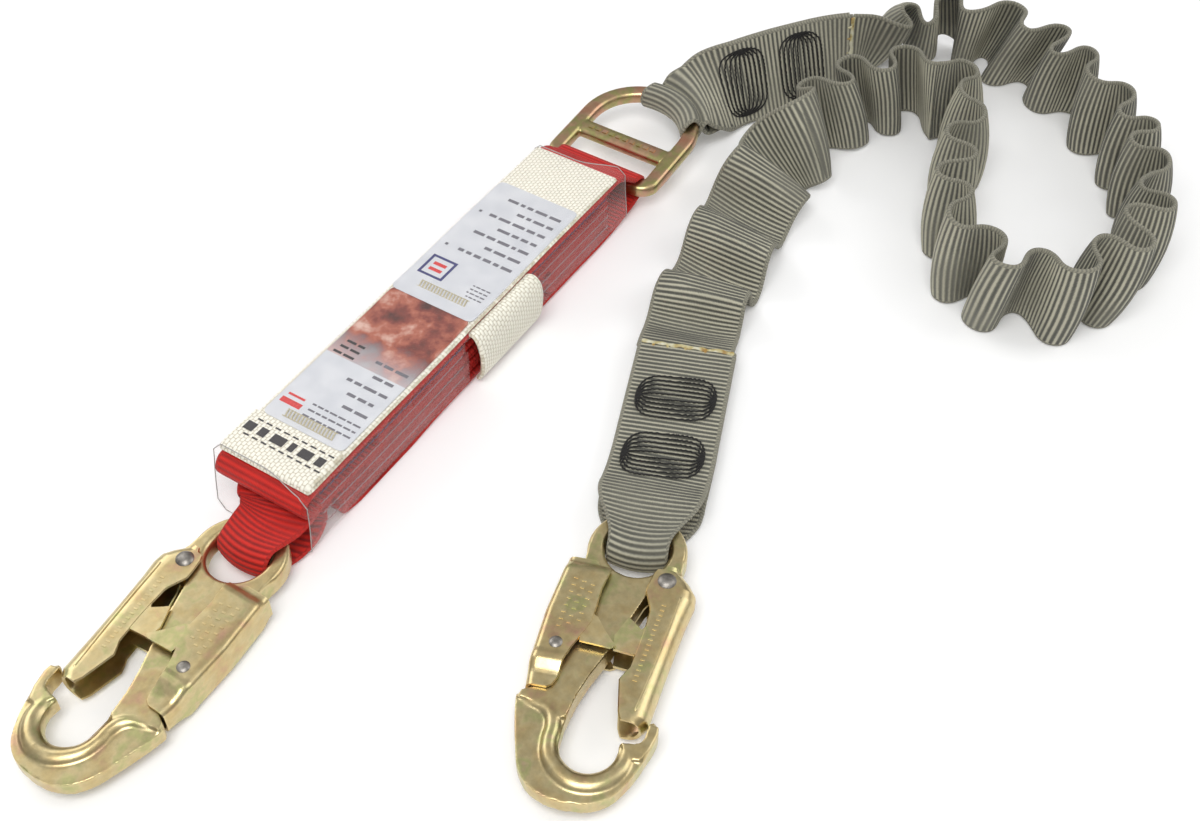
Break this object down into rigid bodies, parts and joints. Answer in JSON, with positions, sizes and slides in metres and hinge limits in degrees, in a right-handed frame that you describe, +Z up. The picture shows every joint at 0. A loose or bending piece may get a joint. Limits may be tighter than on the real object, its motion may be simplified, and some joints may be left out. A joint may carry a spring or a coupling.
{
  "type": "shock absorbing lanyard",
  "caption": "Fall arrest lanyard: tear-web energy absorber in a clear sleeve, double-locking snap hooks, a D-ring, and a gathered elastic webbing leg.",
  "frame": {"origin": "on the surface it lies on, under the middle of the box round the absorber, the D-ring and the two snap hooks", "axes": "+X along the absorber from its snap hook to its D-ring, +Y from the leg's side towards the absorber, +Z up"},
  "size_m": [0.6246, 0.2986, 0.046],
  "materials": {
    "plated": "yellow zinc plated, satin",
    "plated_ring": "yellow zinc plated, satin",
    "steel": "turned",
    "red_webbing": "ribbed weave",
    "ivory_webbing": "twill weave",
    "grey_webbing": "cross ribbed weave",
    "elastic": "covered elastic",
    "label": "woven film",
    "black_thread": "heavy thread",
    "ivory_thread": "thread",
    "clear_film": "clear film"
  },
  "bodies": {
    "absorber": {"red_hook_loop": "red_webbing", "red_outer_web": "red_webbing", "tear_web_lower": "red_webbing", "tear_web_upper": "red_webbing", "tear_web_rear": "red_webbing", "label_strap": "ivory_webbing", "side_loop": "ivory_webbing", "lower_label": "label", "upper_label": "label", "label_stitches_lower": "ivory_thread", "label_stitches_upper": "ivory_thread", "clear_sleeve": "clear_film"},
    "hook_1": {"hook_1_body": "plated", "hook_1_gate_rivet": "steel", "hook_1_lock_rivet": "steel", "hook_1_gate_spring": "plated", "hook_1_lock_spring": "plated"},
    "gate_1": {"hook_1_gate": "plated"},
    "lock_1": {"hook_1_lock_lever": "plated"},
    "ring": {"d_ring": "plated_ring"},
    "leg": {"gathered_webbing": "grey_webbing", "elastic_core": "elastic", "sewn_end_hook": "grey_webbing", "sewn_end_ring": "grey_webbing", "hook_end_stitches_1": "black_thread", "hook_end_stitches_2": "black_thread", "ring_end_stitches_1": "black_thread", "ring_end_stitches_2": "black_thread"},
    "hook_2": {"hook_2_body": "plated", "hook_2_gate_rivet": "steel", "hook_2_lock_rivet": "steel", "hook_2_gate_spring": "plated", "hook_2_lock_spring": "plated"},
    "gate_2": {"hook_2_gate": "plated"},
    "lock_2": {"hook_2_lock_lever": "plated"}
  },
  "joints": [
    {"name": "hook_1_swing", "type": "hinge", "parent": "absorber", "child": "hook_1", "pos_m": [-0.10388, 0.07543, 0.0097], "axis": [0.0297, 0.9996, 0], "range_deg": [-75, 75]},
    {"name": "hook_1_gate_hinge", "type": "hinge", "parent": "hook_1", "child": "gate_1", "pos_m": [-0.13567, 0.09158, 0.0097], "axis": [0, 0, 1], "range_deg": [0, 17], "stiffness_Nm_per_rad": 0.6, "springref_deg": -8.59},
    {"name": "hook_1_lock_hinge", "type": "hinge", "parent": "hook_1", "child": "lock_1", "pos_m": [-0.17576, 0.05526, 0.0097], "axis": [0, 0, 1], "range_deg": [0, 6], "stiffness_Nm_per_rad": 0.4, "springref_deg": -8.59},
    {"name": "ring_swing", "type": "hinge", "parent": "absorber", "child": "ring", "pos_m": [0.16918, 0.08345, 0.013], "axis": [0, 1, 0], "range_deg": [-80, 80]},
    {"name": "leg_swing", "type": "hinge", "parent": "ring", "child": "leg", "pos_m": [0.23308, 0.07165, 0.01746], "axis": [0.4067, 0.9135, 0], "range_deg": [-50, 50]},
    {"name": "hook_2_swing", "type": "hinge", "parent": "leg", "child": "hook_2", "pos_m": [-0.01387, -0.05641, 0.0097], "axis": [0.3502, -0.9367, 0], "range_deg": [-75, 75]},
    {"name": "hook_2_gate_hinge", "type": "hinge", "parent": "hook_2", "child": "gate_2", "pos_m": [-0.03875, -0.08195, 0.0097], "axis": [0, 0, -1], "range_deg": [0, 17], "stiffness_Nm_per_rad": 0.6, "springref_deg": -8.59},
    {"name": "hook_2_lock_hinge", "type": "hinge", "parent": "hook_2", "child": "lock_2", "pos_m": [-0.08841, -0.06048, 0.0097], "axis": [0, 0, -1], "range_deg": [0, 6], "stiffness_Nm_per_rad": 0.4, "springref_deg": -8.59}
  ]
}
